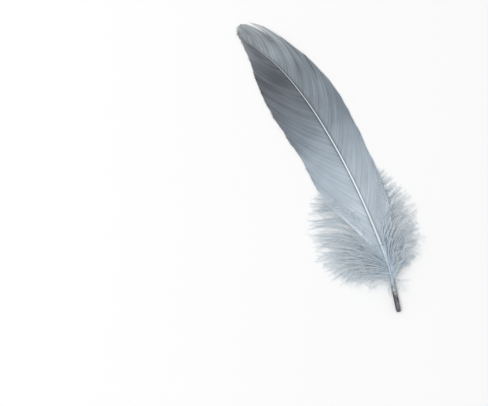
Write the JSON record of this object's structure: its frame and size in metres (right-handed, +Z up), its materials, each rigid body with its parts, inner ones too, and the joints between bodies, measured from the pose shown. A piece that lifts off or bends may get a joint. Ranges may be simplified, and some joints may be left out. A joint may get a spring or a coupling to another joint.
{
  "type": "goose quill feather",
  "caption": "Grey dyed goose feather with a bowed quill, a smooth web on both sides and loose down at its base, lying flat.",
  "frame": {"origin": "on the surface that the feather lies on, under the centre of its bounding box", "axes": "+Y from the quill end to the tip of the vane, +Z up from the surface, +X to the right seen from above"},
  "size_m": [0.0612, 0.1722, 0.0053],
  "materials": {
    "horn": "satin keratin, pale along the vane and charcoal at the quill end",
    "web": "dyed slate grey barbs with a soft silky sheen",
    "down": "matte pale grey fluff"
  },
  "bodies": {
    "root": {"shaft": "horn", "vane_left": "web", "vane_right": "web", "down_left": "down", "down_right": "down"}
  },
  "joints": []
}
